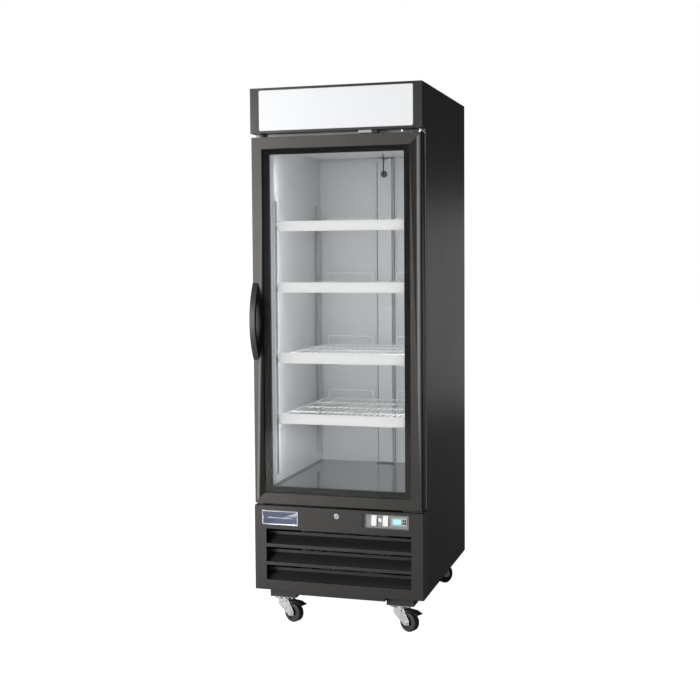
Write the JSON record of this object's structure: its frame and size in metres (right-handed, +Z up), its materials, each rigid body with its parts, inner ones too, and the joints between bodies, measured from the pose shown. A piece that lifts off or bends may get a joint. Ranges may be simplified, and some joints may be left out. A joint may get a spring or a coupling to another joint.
{
  "type": "glass door merchandiser",
  "caption": "Tall upright glass door refrigerator with a lit header sign, wire shelves, louvred lower panel and swivel casters.",
  "frame": {"origin": "centre of the overall footprint on the floor, under the casters", "axes": "+Z up, the door faces -Y, +X to the right of someone facing the door"},
  "size_m": [0.6858, 0.8676, 2.1084],
  "materials": {
    "black_paint": "semi-gloss",
    "black_steel": "satin",
    "galvanised": "satin",
    "stainless": "satin",
    "white_liner": "satin",
    "grey_frame": "satin",
    "black_anodised": "satin",
    "aluminium": "satin",
    "glass": "clear",
    "sign_white": "satin, lit from behind",
    "white_plastic": "gloss",
    "white_wire": "gloss",
    "led": "lit",
    "black_rubber": "matt",
    "foam": "matt",
    "black_plastic": "satin",
    "grey_plastic": "satin",
    "badge": "gloss",
    "chrome": "polished",
    "copper": "bright",
    "tyre": "satin"
  },
  "bodies": {
    "cabinet": {"left_side_panel": "black_paint", "right_side_panel": "black_paint", "top_panel": "black_paint", "rear_panel": "galvanised", "foam_insulation": "foam", "front_frame": "grey_frame", "liner_walls": "white_liner", "liner_floor": "stainless", "header_housing": "black_paint", "header_sign": "sign_white", "door_switch_body": "grey_plastic", "light_strips": "led", "hinge_brackets": "chrome", "lock_body": "chrome", "lower_panel": "black_paint", "louvre_grille": "black_steel", "badge_plate": "badge", "control_panel": "grey_plastic", "controller": "grey_plastic", "pilasters": "stainless", "shelf_clips": "galvanised", "duct_cover": "white_liner", "probe_lead": "black_rubber", "grommets": "black_rubber", "evaporator_cover": "white_liner", "evaporator_coil": "aluminium", "fan_motors": "black_steel", "base_frame": "black_steel", "compressor": "black_steel", "condenser": "aluminium", "refrigerant_lines": "copper", "condensate_pan": "galvanised", "rear_grille": "galvanised", "caster_plates": "galvanised", "fasteners": "galvanised"},
    "door": {"door_frame": "black_anodised", "door_glass": "glass", "glass_spacer": "black_anodised", "door_gasket": "black_rubber", "door_handle": "black_plastic"},
    "lock": {"lock_cylinder": "chrome"},
    "light_rocker_body": {"light_rocker": "white_plastic"},
    "power_rocker_body": {"power_rocker": "white_plastic"},
    "door_switch": {"door_switch_button": "black_plastic"},
    "evaporator_rotor": {"evaporator_fan": "black_plastic"},
    "condenser_rotor": {"condenser_fan": "black_plastic"},
    "wire_shelf_1": {"shelf_1": "white_wire"},
    "wire_shelf_2": {"shelf_2": "white_wire"},
    "wire_shelf_3": {"shelf_3": "white_wire"},
    "wire_shelf_4": {"shelf_4": "white_wire"},
    "front_left_swivel": {"front_left_fork": "galvanised"},
    "front_left_roller": {"front_left_wheel": "tyre"},
    "front_left_brake_pedal": {"front_left_brake": "galvanised"},
    "front_right_swivel": {"front_right_fork": "galvanised"},
    "front_right_roller": {"front_right_wheel": "tyre"},
    "front_right_brake_pedal": {"front_right_brake": "galvanised"},
    "rear_left_swivel": {"rear_left_fork": "galvanised"},
    "rear_left_roller": {"rear_left_wheel": "tyre"},
    "rear_right_swivel": {"rear_right_fork": "galvanised"},
    "rear_right_roller": {"rear_right_wheel": "tyre"}
  },
  "joints": [
    {"name": "door_swing", "type": "hinge", "parent": "cabinet", "child": "door", "pos_m": [0.3299, -0.36975, 1.2021], "axis": [0, 0, 1], "range_deg": [0, 110]},
    {"name": "lock_turn", "type": "hinge", "parent": "cabinet", "child": "lock", "pos_m": [-0.003, -0.38175, 0.4478], "axis": [0, 1, 0], "range_deg": [0, 90]},
    {"name": "light_rocker_tilt", "type": "hinge", "parent": "cabinet", "child": "light_rocker_body", "pos_m": [0.1445, -0.37375, 0.43685], "axis": [1, 0, 0], "range_deg": [0, 14]},
    {"name": "power_rocker_tilt", "type": "hinge", "parent": "cabinet", "child": "power_rocker_body", "pos_m": [0.1905, -0.37375, 0.43685], "axis": [1, 0, 0], "range_deg": [0, 14]},
    {"name": "door_switch_press", "type": "slide", "parent": "cabinet", "child": "door_switch", "axis": [0, 0, 1], "range_m": [0, 0.003], "stiffness_N_per_m": 200, "springref_m": -0.002},
    {"name": "evaporator_fan_spin", "type": "hinge", "parent": "cabinet", "child": "evaporator_rotor", "pos_m": [0, -0.15675, 1.9204], "axis": [0, 0, 1], "continuous": true},
    {"name": "condenser_fan_spin", "type": "hinge", "parent": "cabinet", "child": "condenser_rotor", "pos_m": [0, -0.22675, 0.2701], "axis": [0, 1, 0], "continuous": true},
    {"name": "shelf_1_lift", "type": "slide", "parent": "cabinet", "child": "wire_shelf_1", "axis": [0, 0, 1], "range_m": [0, 0.012]},
    {"name": "shelf_2_lift", "type": "slide", "parent": "cabinet", "child": "wire_shelf_2", "axis": [0, 0, 1], "range_m": [0, 0.012]},
    {"name": "shelf_3_lift", "type": "slide", "parent": "cabinet", "child": "wire_shelf_3", "axis": [0, 0, 1], "range_m": [0, 0.012]},
    {"name": "shelf_4_lift", "type": "slide", "parent": "cabinet", "child": "wire_shelf_4", "axis": [0, 0, 1], "range_m": [0, 0.012]},
    {"name": "front_left_swivel_turn", "type": "hinge", "parent": "cabinet", "child": "front_left_swivel", "pos_m": [-0.2379, -0.31775, 0.095], "axis": [0, 0, 1], "continuous": true},
    {"name": "front_left_wheel_spin", "type": "hinge", "parent": "front_left_swivel", "child": "front_left_roller", "pos_m": [-0.20197, -0.33012, 0.0381], "axis": [0.3256, 0.9455, 0], "continuous": true},
    {"name": "front_left_brake_press", "type": "hinge", "parent": "front_left_swivel", "child": "front_left_brake_pedal", "pos_m": [-0.22277, -0.32296, 0.0832], "axis": [0.3256, 0.9455, 0], "range_deg": [0, 8]},
    {"name": "front_right_swivel_turn", "type": "hinge", "parent": "cabinet", "child": "front_right_swivel", "pos_m": [0.2379, -0.31775, 0.095], "axis": [0, 0, 1], "continuous": true},
    {"name": "front_right_wheel_spin", "type": "hinge", "parent": "front_right_swivel", "child": "front_right_roller", "pos_m": [0.27261, -0.33321, 0.0381], "axis": [0.4067, 0.9135, 0], "continuous": true},
    {"name": "front_right_brake_press", "type": "hinge", "parent": "front_right_swivel", "child": "front_right_brake_pedal", "pos_m": [0.25252, -0.32426, 0.0832], "axis": [0.4067, 0.9135, 0], "range_deg": [0, 8]},
    {"name": "rear_left_swivel_turn", "type": "hinge", "parent": "cabinet", "child": "rear_left_swivel", "pos_m": [-0.2379, 0.35325, 0.095], "axis": [0, 0, 1], "continuous": true},
    {"name": "rear_left_wheel_spin", "type": "hinge", "parent": "rear_left_swivel", "child": "rear_left_roller", "pos_m": [-0.21347, 0.38236, 0.0381], "axis": [-0.766, 0.6428, 0], "continuous": true},
    {"name": "rear_right_swivel_turn", "type": "hinge", "parent": "cabinet", "child": "rear_right_swivel", "pos_m": [0.2379, 0.35325, 0.095], "axis": [0, 0, 1], "continuous": true},
    {"name": "rear_right_wheel_spin", "type": "hinge", "parent": "rear_right_swivel", "child": "rear_right_roller", "pos_m": [0.2597, 0.38438, 0.0381], "axis": [-0.8192, 0.5736, 0], "continuous": true}
  ]
}
